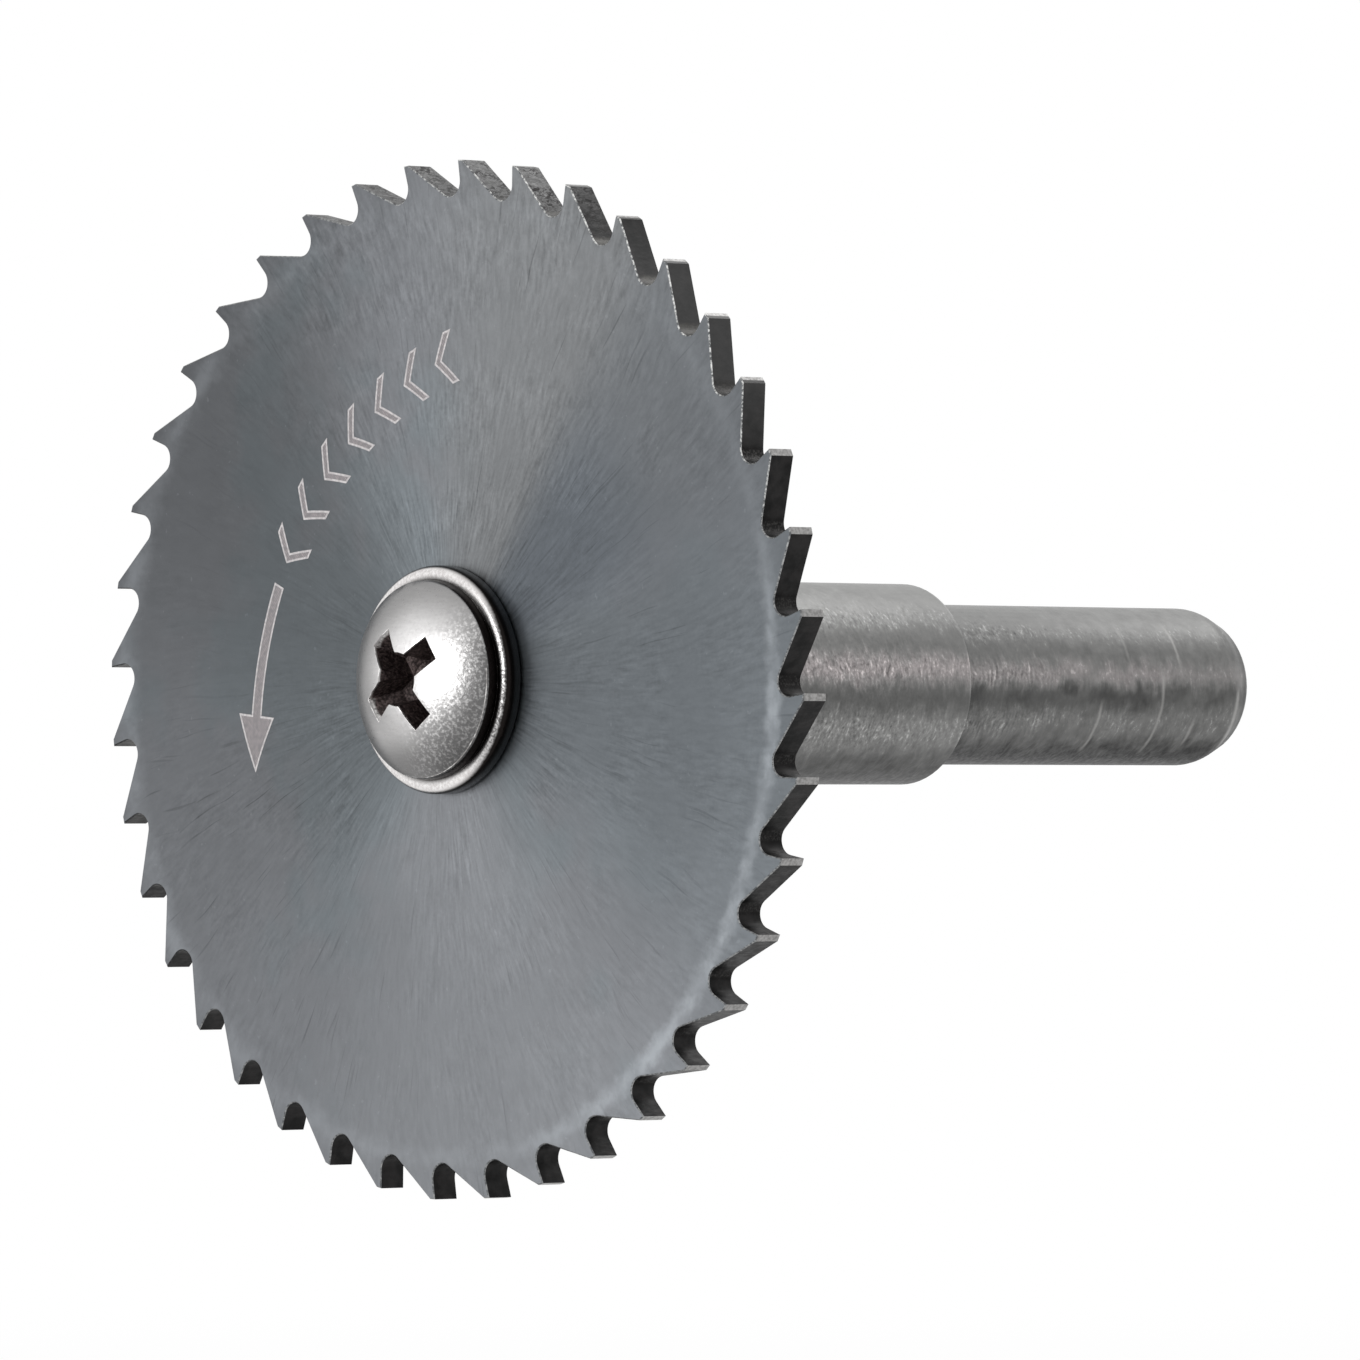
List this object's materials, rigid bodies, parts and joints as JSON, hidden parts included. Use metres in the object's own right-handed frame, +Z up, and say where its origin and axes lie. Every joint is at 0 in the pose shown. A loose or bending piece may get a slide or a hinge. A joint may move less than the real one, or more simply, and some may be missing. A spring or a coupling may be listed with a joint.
{
  "type": "slotting cutter",
  "caption": "Thin round saw blade with hooked teeth, clamped by a washer and a domed cross-recess screw on a straight stepped arbor, for cutting narrow slots.",
  "frame": {"origin": "centre of the shank's free end face", "axes": "+Y along the spin axis and out of the shank's free end, so the blade and the screw lie at negative Y; +Z up; +X to the right for someone who looks at the screw head"},
  "size_m": [0.05, 0.0552, 0.05],
  "materials": {
    "blade_steel": "ground, dull",
    "arbor_steel": "turned, dull",
    "washer_plating": "polished",
    "screw_plating": "satin"
  },
  "bodies": {
    "root": {"saw_blade": "blade_steel", "arbor": "arbor_steel", "washer": "washer_plating", "clamp_screw": "screw_plating"}
  },
  "joints": []
}
